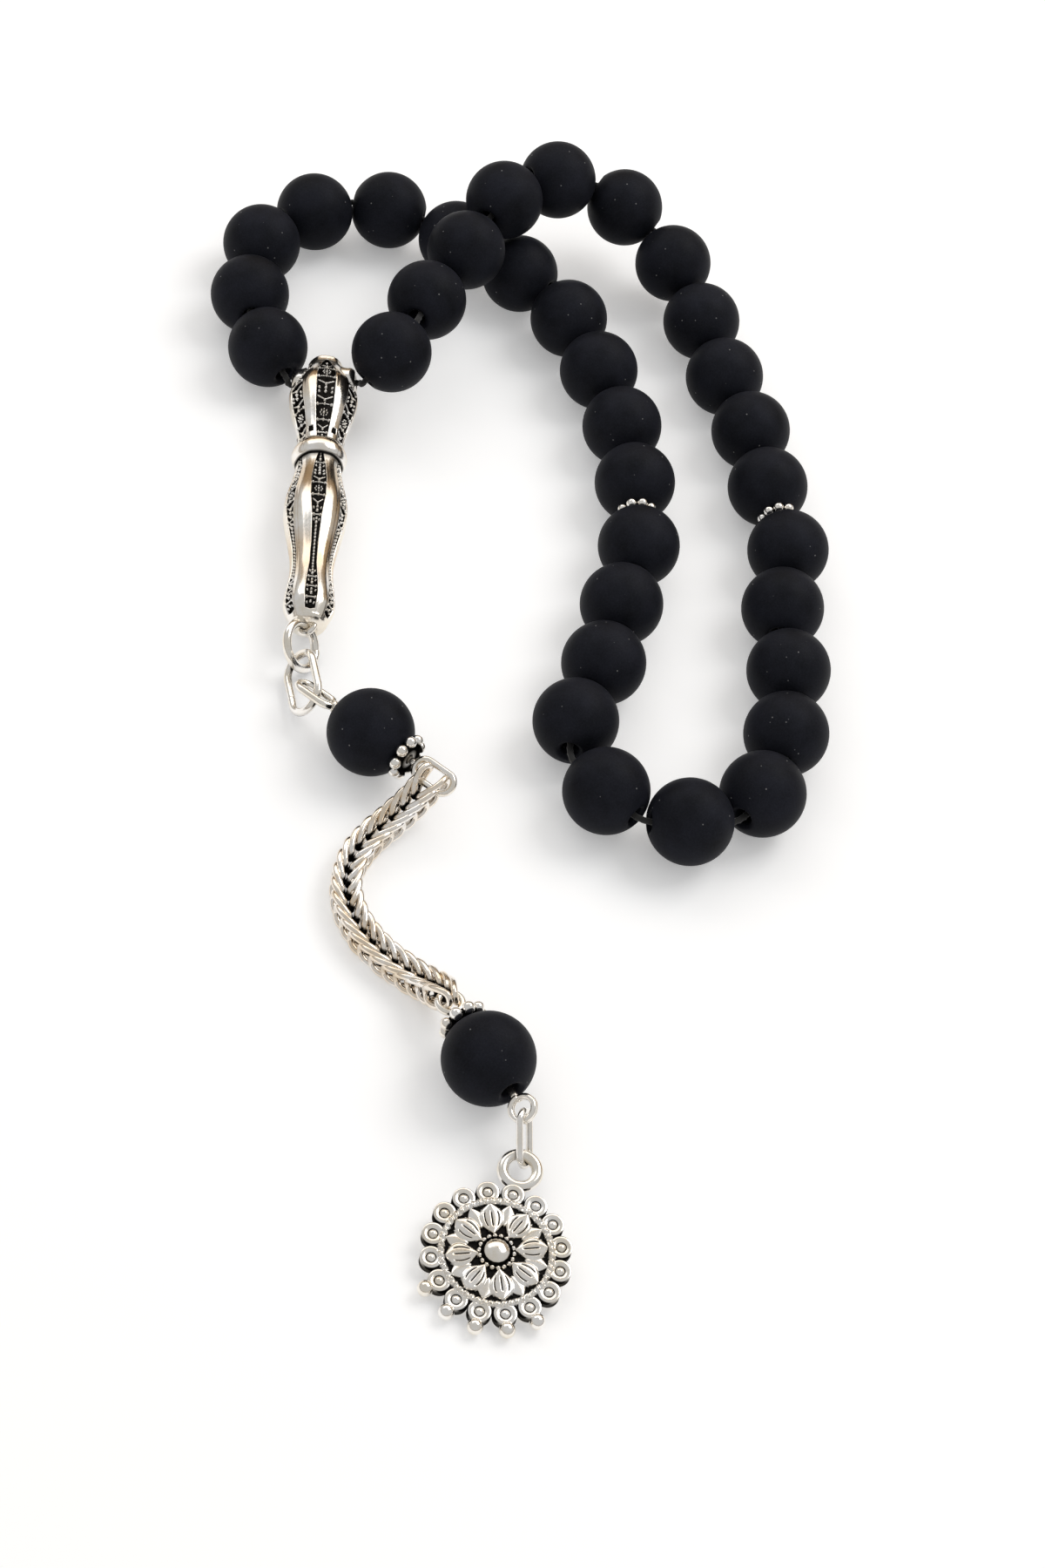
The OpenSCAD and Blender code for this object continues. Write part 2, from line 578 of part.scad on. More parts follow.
module charm() {
  rim_r = medal_r - scallop_d / 2;
  color("silver") along(charm_at, charm_dir) {
    translate([0, 0, charm_ring_wire / 2]) wire_ring(charm_ring_r, charm_ring_wire);
    translate([medal_at, 0, 0]) {
      cylinder(h = medal_t, r = medal_r);
      for (i = [0 : scallops - 1]) rotate([0, 0, i * scallop_turn])
        translate([medal_r, 0, 0]) cylinder(h = medal_t, d = scallop_d);
      rotate_extrude() translate([rim_r, 0]) square([rim_w, medal_t + relief_h]);
      cylinder(h = medal_t + 2 * relief_h, d = boss_d);
      for (i = [0 : petals - 1]) rotate([0, 0, (i + 0.5) * 360 / petals])
        petal(boss_d / 2 + rim_w / 2, rim_r - rim_w / 2);
      for (i = [0 : drop_count - 1]) rotate([0, 0, (i - (drop_count - 1) / 2) * scallop_turn])
        translate([scallop_reach + drop_d / 4, 0, drop_d / 2]) sphere(d = drop_d);
    }
  }
}

for (i = [1 : bead_count]) bead(i);
spacer(1);  // spacer_1
spacer(2);  // spacer_2
cord();
cord_knot();
leader();
foot_ring();
link_ring();
tail_pin_1();
tail_bead_1();
tail_spacer_1();
for (g = [1 : chain_groups]) chain(g);
tail_pin_2();
tail_bead_2();
tail_spacer_2();
charm_ring();
charm();
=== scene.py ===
import json
import math

import bpy
import numpy as np
from mathutils import Matrix, Vector


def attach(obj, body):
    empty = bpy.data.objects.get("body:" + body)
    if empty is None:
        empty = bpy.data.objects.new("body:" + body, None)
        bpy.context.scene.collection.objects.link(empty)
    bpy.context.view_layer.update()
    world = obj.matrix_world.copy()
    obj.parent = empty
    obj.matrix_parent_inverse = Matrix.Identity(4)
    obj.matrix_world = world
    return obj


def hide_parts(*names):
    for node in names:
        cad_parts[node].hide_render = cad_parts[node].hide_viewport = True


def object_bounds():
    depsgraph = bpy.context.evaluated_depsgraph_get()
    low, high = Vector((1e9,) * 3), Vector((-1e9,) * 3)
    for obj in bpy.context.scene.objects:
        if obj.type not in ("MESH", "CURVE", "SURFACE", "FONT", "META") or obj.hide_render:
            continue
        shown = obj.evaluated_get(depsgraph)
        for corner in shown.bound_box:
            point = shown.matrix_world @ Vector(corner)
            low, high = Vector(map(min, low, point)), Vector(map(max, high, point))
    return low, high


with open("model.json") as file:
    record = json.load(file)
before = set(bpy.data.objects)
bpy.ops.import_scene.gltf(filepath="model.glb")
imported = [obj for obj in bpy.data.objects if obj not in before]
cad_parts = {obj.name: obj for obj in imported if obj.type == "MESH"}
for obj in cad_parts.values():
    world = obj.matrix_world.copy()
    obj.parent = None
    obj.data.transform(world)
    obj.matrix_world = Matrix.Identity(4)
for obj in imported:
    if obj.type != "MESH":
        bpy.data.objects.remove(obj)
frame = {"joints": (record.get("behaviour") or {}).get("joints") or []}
cad_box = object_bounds()

MM = 0.001
JOINTS = {j["name"]: j for j in frame["joints"]}


# Camera
IMAGE_H = 1800
FOCAL_PX = 3303.34
CAMERA_AT = np.array([10.8, -228.226, 250.127]) * MM
CAMERA_DOWN = math.radians(49.421)
CAMERA_ROLL = math.radians(-13.9255)
SENSOR = 36.0

back = np.array([0, -math.cos(CAMERA_DOWN), math.sin(CAMERA_DOWN)])
right = np.array([1.0, 0, 0])
above = np.cross(back, right)
c, s = math.cos(CAMERA_ROLL), math.sin(CAMERA_ROLL)
axes = np.array([c * right - s * above, s * right + c * above, back])
camera_data = bpy.data.cameras.new("camera")
camera_data.sensor_fit = "VERTICAL"
camera_data.sensor_height = SENSOR
camera_data.lens = FOCAL_PX / IMAGE_H * SENSOR
camera_data.clip_start = 0.01
camera = bpy.data.objects.new("camera", camera_data)
bpy.context.scene.collection.objects.link(camera)
pose = Matrix.Identity(4)
for i in range(3):
    for j in range(3):
        pose[i][j] = axes[j][i]
    pose[i][3] = CAMERA_AT[i]
camera.matrix_world = pose
bpy.context.scene.camera = camera


# Vectors and mesh building, in millimetres
def unit(v):
    v = np.asarray(v, float)
    return v / np.linalg.norm(v)


def toward(bearing, slope=0.0):
    b, e = math.radians(bearing), math.radians(slope)
    return np.array([math.cos(b) * math.cos(e), math.sin(b) * math.cos(e), math.sin(e)])


def side_of(d):
    return unit(np.cross([0, 0, 1], d))


def up_of(d):
    return np.cross(unit(d), side_of(d))


class Spot:
    """A place with a direction: local X runs along d, rolled about it."""

    def __init__(self, p, d, roll=0.0):
        d = unit(d)
        a = math.radians(roll)
        y, z = side_of(d), up_of(d)
        self.p = np.asarray(p, float)
        self.m = np.stack([d, y * math.cos(a) + z * math.sin(a), z * math.cos(a) - y * math.sin(a)])

    def __call__(self, v):
        return np.asarray(v, float) @ self.m + self.p


def joint_spot(name, roll=0.0):
    j = JOINTS[name]
    return Spot(np.array(j["pos_m"]) / MM, np.array(j["axis"]), roll)


class Shape:
    """Gathers grids of points into one mesh, with a tone for each point: 0 bright, 1 dark (oxide in hollows,
    and painted shade), -1 a painted tan reflection.
    """

    def __init__(self):
        self.v, self.f, self.t, self.n = [], [], [], 0

    def grid(self, pts, around=True, loop=False, tone=0.0):
        pts = np.asarray(pts, float)
        rows, cols = pts.shape[:2]
        i = np.arange(rows if loop else rows - 1)[:, None]
        j = np.arange(cols if around else cols - 1)[None, :]
        i2, j2 = (i + 1) % rows, (j + 1) % cols
        quads = np.stack([i * cols + j, i * cols + j2, i2 * cols + j2, i2 * cols + j], -1)
        self.v.append(pts.reshape(-1, 3))
        self.f.append(quads.reshape(-1, 4) + self.n)
        self.t.append(np.broadcast_to(tone, (rows, cols)).reshape(-1).astype(float))
        self.n += rows * cols
        return self

    def lathe(self, spot, profile, sides=48, loop=False, tone=0.0):
        profile = np.asarray(profile, float)
        a = np.linspace(0, 2 * math.pi, sides, endpoint=False)
        x = np.repeat(profile[:, :1], sides, 1)
        y = profile[:, 1:] * np.cos(a)
        z = profile[:, 1:] * np.sin(a)
        tone = np.asarray(tone, float)
        return self.grid(spot(np.stack([x, y, z], -1)), True, loop, tone[:, None] if tone.ndim else tone)

    def ball(self, p, r, squash=1.0, axis=(0, 0, 1), sides=20, tone=0.0, under=0.0):
        spot = Spot(p, np.asarray(axis, float) + np.array([1e-6, 2e-6, 0]))
        a = np.linspace(0.001, math.pi - 0.001, sides // 2 + 1)
        profile = np.stack([-np.cos(a) * r * squash, np.sin(a) * r], -1)
        # painted shade on the side of the ball toward where it sits, by the under weight
        shade = tone + under * np.clip((np.cos(a) + 0.1) * 1.4, 0, 1)
        return self.lathe(spot, profile, sides, tone=shade)

    def tube(self, path, radius, sides=16, loop=False, ends=True, lobes=0, depth=0.0, turn=0.0, tone=0.0,
             under=0.0):
        path = np.asarray(path, float)
        radius = np.broadcast_to(np.asarray(radius, float), (len(path),)).copy()
        if loop:
            tangent = np.roll(path, -1, 0) - np.roll(path, 1, 0)
        else:
            tangent = np.gradient(path, axis=0)
        tangent /= np.linalg.norm(tangent, axis=1)[:, None]
        normal = [unit(np.cross(tangent[0], [0.31, 0.2, 0.93]))]
        for k in range(1, len(path)):
            n = normal[-1] - tangent[k] * np.dot(normal[-1], tangent[k])
            normal.append(unit(n))
        normal = np.array(normal)
        twist = np.zeros(len(path))
        if loop:
            n = normal[-1] - tangent[0] * np.dot(normal[-1], tangent[0])
            off = math.atan2(np.dot(np.cross(normal[0], n), tangent[0]), np.dot(normal[0], n))
            twist = -off * np.arange(len(path)) / len(path)
        steps = np.r_[0, np.cumsum(np.linalg.norm(np.diff(path, axis=0), axis=1))]
        if ends and not loop:
            a = np.linspace(math.pi / 2 * 0.985, 0, 5)[:-1]
            head = path[0] - np.outer(np.sin(a) * radius[0], tangent[0])
            tail = path[-1] + np.outer(np.sin(a[::-1]) * radius[-1], tangent[-1])
            path = np.vstack([head, path, tail])
            radius = np.r_[np.cos(a) * radius[0], radius, np.cos(a[::-1]) * radius[-1]]
            normal = np.vstack([np.tile(normal[0], (4, 1)), normal, np.tile(normal[-1], (4, 1))])
            tangent = np.vstack([np.tile(tangent[0], (4, 1)), tangent, np.tile(tangent[-1], (4, 1))])
            twist = np.r_[np.zeros(4), twist, np.zeros(4)]
            steps = np.r_[np.full(4, steps[0]), steps, np.full(4, steps[-1])]
        other = np.cross(tangent, normal)
        a = np.linspace(0, 2 * math.pi, sides, endpoint=False)[None, :]
        a2 = a + twist[:, None]
        r = radius[:, None] * np.ones_like(a)
        if lobes:
            wave = np.abs(np.cos(lobes / 2 * (a - steps[:, None] * turn)))
            r = r * (1 - depth + depth * wave)
        out = np.cos(a2)[..., None] * normal[:, None] + np.sin(a2)[..., None] * other[:, None]
        # painted shade on the side of the wire that faces down, by the under weight
        shade = tone + under * np.clip(-2 * out[..., 2] - 0.4, 0, 1)
        return self.grid(path[:, None] + r[..., None] * out, True, loop, shade)

    def make(self, name, material, body, nodes, slot):
        mesh = bpy.data.meshes.new(name)
        verts = np.vstack(self.v) * MM
        faces = np.vstack(self.f)
        mesh.from_pydata(verts.tolist(), [], faces.tolist())
        layer = mesh.attributes.new("tone", "FLOAT", "POINT")
        layer.data.foreach_set("value", np.concatenate(self.t).astype(np.float32))
        mesh.polygons.foreach_set("use_smooth", np.ones(len(mesh.polygons), bool))
        mesh.validate()
        mesh.update()
        obj = bpy.data.objects.new(name, mesh)
        bpy.context.scene.collection.objects.link(obj)
        mesh.materials.append(material)
        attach(obj, body)
        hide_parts(*nodes)
        return obj


# Materials
class Nodes:
    """Short ways to build a node material."""

    def __init__(self, name):
        self.material = bpy.data.materials.new(name)
        self.material.use_nodes = True
        self.tree = self.material.node_tree
        self.tree.nodes.clear()
        self.out = self.tree.nodes.new("ShaderNodeOutputMaterial")

    def add(self, kind, links=None, **sets):
        node = self.tree.nodes.new("ShaderNode" + kind)
        for k, v in sets.items():
            setattr(node, k, v)
        for k, v in (links or {}).items():
            socket = node.inputs[k]
            if hasattr(v, "is_output"):
                self.tree.links.new(v, socket)
            else:
                socket.default_value = v
        return node

    def ramp(self, fac, stops, color=False):
        node = self.add("ValToRGB", {"Fac": fac})
        ramp = node.color_ramp
        while len(ramp.elements) < len(stops):
            ramp.elements.new(0.5)
        for e, (at, val) in zip(ramp.elements, stops):
            e.position = at
            e.color = (*val, 1) if color else (val, val, val, 1)
        return node.outputs["Color"]

    def mix(self, fac, a, b):
        node = self.add("Mix", data_type="RGBA")
        for socket, v in ((node.inputs[0], fac), (node.inputs[6], a), (node.inputs[7], b)):
            if hasattr(v, "is_output"):
                self.tree.links.new(v, socket)
            else:
                socket.default_value = v
        return node.outputs[2]

    def done(self, shader):
        self.tree.links.new(shader, self.out.inputs["Surface"])
        return self.material


def stone_material():
    n = Nodes("matte_black_stone")
    where = n.add("TexCoord").outputs["Object"]
    cloud = n.add("TexNoise", {"Vector": where, "Scale": 240.0, "Detail": 5.0, "Roughness": 0.6})
    grain = n.add("TexNoise", {"Vector": where, "Scale": 5200.0, "Detail": 3.0, "Roughness": 0.65})
    specks = n.add("TexVoronoi", {"Vector": where, "Scale": 620.0}, feature="F1")
    pits = n.add("TexVoronoi", {"Vector": where, "Scale": 420.0, "Randomness": 1.0}, feature="F1")
    base = n.ramp(cloud.outputs["Fac"],
                  [(0.3, (0.0066, 0.0071, 0.0092)), (0.7, (0.0150, 0.0160, 0.0225))], True)
    fine = n.ramp(grain.outputs["Fac"], [(0.4, (0.0, 0.0, 0.0)), (0.85, (0.014, 0.015, 0.018))], True)
    both = n.add("Mix", data_type="RGBA", blend_type="ADD")
    both.inputs[0].default_value = 0.5
    n.tree.links.new(base, both.inputs[6])
    n.tree.links.new(fine, both.inputs[7])
    speck = n.ramp(specks.outputs["Distance"], [(0.03, 1.0), (0.07, 0.0)])
    colour = n.mix(speck, both.outputs[2], (0.22, 0.22, 0.22, 1))
    rough = n.ramp(cloud.outputs["Fac"], [(0.35, 0.44), (0.7, 0.58)])
    dent = n.ramp(pits.outputs["Distance"], [(0.03, 0.0), (0.09, 1.0)])
    low = n.add("Bump", {"Height": dent, "Strength": 0.25, "Distance": 0.00004})
    bump = n.add("Bump", {"Height": grain.outputs["Fac"], "Strength": 0.22, "Distance": 0.00003,
                          "Normal": low.outputs["Normal"]})
    shader = n.add("BsdfPrincipled", {"Base Color": colour, "Roughness": rough,
                                      "Normal": bump.outputs["Normal"], "Specular IOR Level": 0.05})
    return n.done(shader.outputs["BSDF"])


def silver_material(name, light, warm, shine, tarnish):
    n = Nodes(name)
    where = n.add("TexCoord").outputs["Object"]
    tone = n.add("Attribute", attribute_name="tone").outputs["Fac"]
    stain = n.add("TexNoise", {"Vector": where, "Scale": 330.0, "Detail": 4.0, "Roughness": 0.6})
    scuff = n.add("TexNoise", {"Vector": where, "Scale": 3600.0, "Detail": 3.0, "Roughness": 0.7})
    metal = n.ramp(stain.outputs["Fac"], [(0.38, light), (0.64, warm)], True)
    # a negative tone mixes in a tan colour: a painted reflection
    painted_tan_reflection = n.add("Math", {0: tone, 1: -0.9}, operation="MULTIPLY", use_clamp=True)
    metal = n.mix(painted_tan_reflection.outputs[0], metal, (0.74, 0.56, 0.36, 1))
    # where the tone is high the silver turns near-black, dull and dim: oxide in the hollows, and painted
    # shade on undersides, joins and bores
    oxide_and_painted_shade = n.ramp(scuff.outputs["Fac"], [(0.3, (0.005, 0.005, 0.005)), (0.75, (0.02, 0.018, 0.016))], True)
    fac = n.ramp(tone, [(0.2, 0.0), (0.65, 1.0)])
    colour = n.mix(fac, metal, oxide_and_painted_shade)
    rough = n.ramp(scuff.outputs["Fac"], [(0.3, shine), (0.75, shine + 0.12)])
    rough = n.mix(fac, rough, (tarnish, tarnish, tarnish, 1))
    wave = n.add("Bump", {"Height": stain.outputs["Fac"], "Strength": 0.12, "Distance": 0.00012})
    bump = n.add("Bump", {"Height": scuff.outputs["Fac"], "Strength": 0.08, "Distance": 0.00002,
                          "Normal": wave.outputs["Normal"]})
    rim = n.mix(fac, (1, 1, 1, 1), (0.03, 0.03, 0.03, 1))
    shader = n.add("BsdfPrincipled", {"Base Color": colour, "Roughness": rough, "Metallic": 1.0,
                                      "Specular Tint": rim, "Normal": bump.outputs["Normal"]})
    return n.done(shader.outputs["BSDF"])


def cord_material():
    n = Nodes("black_twisted_cord")
    where = n.add("TexCoord").outputs["Object"]
    fuzz = n.add("TexNoise", {"Vector": where, "Scale": 7000.0, "Detail": 3.0, "Roughness": 0.7})
    colour = n.ramp(fuzz.outputs["Fac"], [(0.3, (0.004, 0.004, 0.004)), (0.75, (0.03, 0.029, 0.028))], True)
    rough = n.ramp(fuzz.outputs["Fac"], [(0.3, 0.75), (0.7, 0.95)])
    bump = n.add("Bump", {"Height": fuzz.outputs["Fac"], "Strength": 0.5, "Distance": 0.00005})
    shader = n.add("BsdfPrincipled", {"Base Color": colour, "Roughness": rough,
                                      "Normal": bump.outputs["Normal"],
                                      "Sheen Weight": 0.3, "Sheen Roughness": 0.5})
    return n.done(shader.outputs["BSDF"])


STONE = stone_material()
SILVER = silver_material("antique_silver", (0.94, 0.92, 0.89), (0.86, 0.80, 0.70), 0.13, 0.5)
CHAIN_SILVER = silver_material("bright_chain_silver", (0.95, 0.92, 0.88), (0.82, 0.70, 0.55), 0.12, 0.45)
CORD = cord_material()


# Sizes repeated from the part's source, in millimetres
BEAD_COUNT = 33
BEAD_R = 5.0
BORE_R = 1.05
SINK = 0.6
CORD_D = 0.8
LEADER_HOLE_XY = (-25.3, 38.4)
LEADER_BEARING = -79.5
LEADER_ROLL = 12
LEADER_LEN = 45.2
HEAD_R, HEAD_AT = 4.3, 6.5
NECK_R = 2.8
COLLAR_AT, COLLAR_W, COLLAR_H = 16.9, 2.4, 0.65
BELLY_R, BELLY_AT = 3.9, 26.1
WAIST_R, WAIST_AT = 2.6, 35.7
FOOT_R, FOOT_AT, FOOT_END_R = 3.1, 41.2, 1.9
TIP_R, TIP_LEN = 2.2, 0.7
HOLE_AT, HOLE_R, HOLE_REACH = 3.5, 0.8, 4.0
KNOT_D = 2.6
MOUTH_LEAD = 0.2

leader_tilt = math.degrees(math.asin((BELLY_R - HEAD_R) / (BELLY_AT - HEAD_AT)))
leader_dir = toward(LEADER_BEARING, leader_tilt)
leader_hole = np.array([*LEADER_HOLE_XY, HEAD_R / math.cos(math.radians(leader_tilt))
                        + (HOLE_AT - HEAD_AT) * math.sin(math.radians(leader_tilt))])
leader = Spot(leader_hole - HOLE_AT * leader_dir, leader_dir)
hole_dir = Spot(leader_hole, leader_dir, LEADER_ROLL).m[1]
mouth_left = leader_hole - HOLE_REACH * hole_dir
mouth_right = leader_hole + HOLE_REACH * hole_dir


# Cord
beads = [joint_spot(f"bead_{i:02d}_spin") for i in range(1, BEAD_COUNT + 1)]


def mouth(spot, side):
    return spot.p + side * BEAD_R * spot.m[0]


route = [leader_hole - KNOT_D / 3 * hole_dir, mouth_left - MOUTH_LEAD * hole_dir, mouth(beads[0], -1)]
for i, spot in enumerate(beads):
    route.append(spot.p)
    if i + 1 < BEAD_COUNT:
        route.append((mouth(spot, 1) + mouth(beads[i + 1], -1)) / 2)
route += [mouth(beads[-1], 1), mouth_right + MOUTH_LEAD * hole_dir, leader_hole + KNOT_D / 3 * hole_dir]


def smooth(points, steps):
    p = np.asarray(points, float)
    p = np.vstack([2 * p[0] - p[1], p, 2 * p[-1] - p[-2]])
    out = []
    for a, b, c, d in zip(p, p[1:], p[2:], p[3:]):
        for t in np.arange(steps) / steps:
            out.append(0.5 * (2 * b + (c - a) * t + (2 * a - 5 * b + 4 * c - d) * t ** 2
                              + (3 * b - a - 3 * c + d) * t ** 3))
    return np.array(out + [p[-2]])


line = smooth(route, 14)
cord = Shape().tube(line, CORD_D / 2, 18, lobes=3, depth=0.3, turn=2.6).make(
    "twisted_cord", CORD, "leader_and_cord", ["cord", "cord_knot"], "cord")


# Beads
def bead(name, spot):
    reach = math.sqrt(BEAD_R ** 2 - BORE_R ** 2)
    lip = math.asin((BORE_R + 0.55) / BEAD_R)
    a = np.linspace(lip, math.pi - lip, 46)
    arc = [(-BEAD_R * 0.999 * math.cos(t), BEAD_R * 0.999 * math.sin(t)) for t in a]
    rim_x, rim_r = arc[-1]
    bend = [(rim_x + 0.02 - 0.32 * math.sin(t) * 0.5 - 0.28 * (1 - math.cos(t)), rim_r - 0.55 * math.sin(t))
            for t in np.linspace(0.2, math.pi / 2, 7)]
    inner = [(x, r) for x, r in np.linspace((reach - SINK, BORE_R), (SINK - reach, BORE_R), 8)]
    profile = arc + bend + inner + [(-x, r) for x, r in bend[::-1]]
    Shape().lathe(spot, profile, 72, loop=True).make(name + "_stone", STONE, name, [name], "stone")


for i, spot in enumerate(beads):
    bead(f"bead_{i + 1:02d}", spot)
for k in (1, 2):
    bead(f"tail_bead_{k}", joint_spot(f"tail_bead_{k}_spin"))


# Spacers
def spacer(name, spot, ball_r, ring_r, bore_r, web, balls=9):
    shape = Shape()
    half = web / 2
    near = [(half, bore_r), (half + 0.06, bore_r + 0.12), (half, ring_r - 0.2), (half * 0.6, ring_r)]
    far = [(-x, r) for x, r in near]
    # painted shade on the core between the balls, and on each ball's side toward the core
    shape.lathe(spot, far + near[::-1], 54, loop=True, tone=[0.6, 0.45, 0.9, 1, 1, 0.9, 0.45, 0.6])
    for i in range(balls):
        a = 2 * math.pi * (i + 0.5 * (i % 3 == 1) * 0.08) / balls
        out = math.cos(a) * spot.m[1] + math.sin(a) * spot.m[2]
        uneven_r = ball_r * (1 - 0.03 * (i % 4 == 1))
        shape.ball(spot.p + (ring_r + 0.02 * (i % 2)) * out, uneven_r, 0.97, out, 22, under=0.95)
    shape.make(name + "_daisy", SILVER, name, [name], "silver")


for k in (1, 2):
    spacer(f"spacer_{k}", joint_spot(f"spacer_{k}_spin"), 0.65, 1.95, 1.15, 0.7)
    spacer(f"tail_spacer_{k}", joint_spot(f"tail_spacer_{k}_spin"), 0.7, 2.2, 0.55, 0.7)


# Leader
def outline(x):
    """Radius of the leader at a distance from its tip, the same eased outline as the solid's."""
    places = [(TIP_LEN, TIP_R), (HEAD_AT, HEAD_R), (COLLAR_AT - COLLAR_W / 2, NECK_R),
              (COLLAR_AT + COLLAR_W / 2, NECK_R), (BELLY_AT, BELLY_R), (WAIST_AT, WAIST_R), (FOOT_AT, FOOT_R),
              (LEADER_LEN, FOOT_END_R)]
    r = np.full_like(x, TIP_R)
    dome = x < TIP_LEN
    r[dome] = TIP_R * np.sqrt(np.clip(1 - (1 - x[dome] / TIP_LEN) ** 2, 0, 1))
    for (a, ra), (b, rb) in zip(places, places[1:]):
        on = (x >= a) & (x <= b)
        r[on] = ra + (rb - ra) * (1 - np.cos(np.pi * (x[on] - a) / (b - a))) / 2
    bump = np.clip(1 - ((x - COLLAR_AT) / (COLLAR_W / 2)) ** 2, 0, 1)
    return r + COLLAR_H * np.sqrt(bump)


STRIPS = 6
FOOT_TOP = 43.7
SUNK = 0.34
DOT_MARGIN = 0.22
SQUARE_AT, SQUARE_LEN, SQUARE_W, SQUARE_DEPTH = 14.1, 0.9, 0.68, 0.12
# Half the width of the sunk strips at a distance from the tip.
SUNK_HALF = [(0, 0), (1.3, 0), (2, 0.6), (4, 1.15), (6.5, 1.28), (10, 1.2), (13, 0.95), (15.3, 0.68),
             (15.6, 0), (18.1, 0), (18.3, 0.32), (20, 0.72), (23, 0.98), (26, 0.96), (29.5, 0.6),
             (33, 0.46), (36, 0.46), (38.5, 0.68), (41, 0.82), (43.2, 0.66), (43.4, 0), (46, 0)]
# Darkening at a distance from the tip: darker at the tip under the beaded cap and where the strips begin,
# thin dark lines at the collar's two edges, painted shade on the body just below the collar, and a little at
# the foot's end.
DARKENING = [(0, 0.8), (0.4, 0.7), (0.6, 0.1), (1.3, 0.1), (1.5, 0.6), (2, 0.45), (2.6, 0), (15.2, 0),
         (15.6, 0.9), (15.75, 0), (17.95, 0), (18.15, 0.95), (18.5, 0.5), (19.6, 0), (44, 0), (44.6, 0.2)]
# Painted tan reflection at a distance from the tip.
TAN_REFLECTION = [(0.5, 0), (0.7, 0.6), (1.2, 0.6), (1.4, 0), (1.8, 0), (4, 0.8), (6.5, 0.75), (9.6, 0), (15.7, 0),
          (15.9, 0.7), (16.6, 0.7), (17.3, 0), (19, 0), (21, 0.8), (24, 0.75), (27, 0), (30.5, 0),
          (33, 0.7), (36.5, 0.7), (39.5, 0)]


def along(table, x):
    return np.interp(x, *zip(*table))


